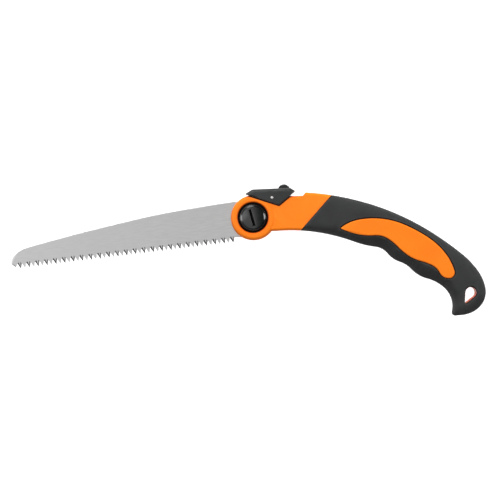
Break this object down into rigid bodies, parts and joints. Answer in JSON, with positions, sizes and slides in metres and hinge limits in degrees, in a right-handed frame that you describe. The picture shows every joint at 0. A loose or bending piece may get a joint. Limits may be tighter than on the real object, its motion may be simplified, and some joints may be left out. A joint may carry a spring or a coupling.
{
  "type": "folding pruning saw",
  "caption": "Folding pruning saw with a tapered steel blade, a curved two-tone soft grip, a slotted pivot bolt, a lock lever and a safety slider.",
  "frame": {"origin": "on the blade's pivot axis, at the flat outer face of the pivot nut, on which the saw lies", "axes": "+X along the toothed edge towards the butt, +Y towards the blade's spine and the lock lever, +Z from the nut to the slotted bolt head"},
  "size_m": [0.4676, 0.1513, 0.026],
  "materials": {
    "orange_plastic": "fine satin moulded polypropylene",
    "grip_rubber": "matt soft-touch overmould",
    "blade_steel": "satin hard-chromed carbon steel",
    "bright_steel": "turned and zinc plated",
    "black_plastic": "semi-gloss glass-filled nylon",
    "washer_nylon": "natural nylon"
  },
  "bodies": {
    "handle": {"handle_core_left": "orange_plastic", "handle_core_right": "orange_plastic", "overmould_left": "grip_rubber", "overmould_right": "grip_rubber", "handle_screws": "bright_steel", "pivot_bolt": "black_plastic", "pivot_nut": "black_plastic", "pivot_sleeve": "bright_steel", "spring_washer": "bright_steel", "nut_washer": "bright_steel", "thrust_washer_left": "washer_nylon", "thrust_washer_right": "washer_nylon", "stop_pin_open": "bright_steel", "stop_pin_closed": "bright_steel", "lever_pin": "bright_steel", "lever_spring": "bright_steel"},
    "blade": {"saw_blade": "blade_steel"},
    "lever": {"lock_lever": "black_plastic", "lock_pawl": "bright_steel", "pawl_rivet": "bright_steel"},
    "slider": {"safety_slider": "black_plastic", "slider_clip": "bright_steel"}
  },
  "joints": [
    {"name": "blade_fold", "type": "hinge", "parent": "handle", "child": "blade", "pos_m": [0, 0, 0.013], "axis": [0, 0, 1], "range_deg": [0, 152]},
    {"name": "lever_press", "type": "hinge", "parent": "handle", "child": "lever", "pos_m": [0.0212, 0.0176, 0.013], "axis": [0, 0, -1], "range_deg": [-2.5, 4.5], "stiffness_Nm_per_rad": 0.6, "deforming": ["lever_spring"]},
    {"name": "safety_slide", "type": "slide", "parent": "lever", "child": "slider", "axis": [-0.9968, 0.0795, 0], "range_m": [0, 0.006]}
  ]
}
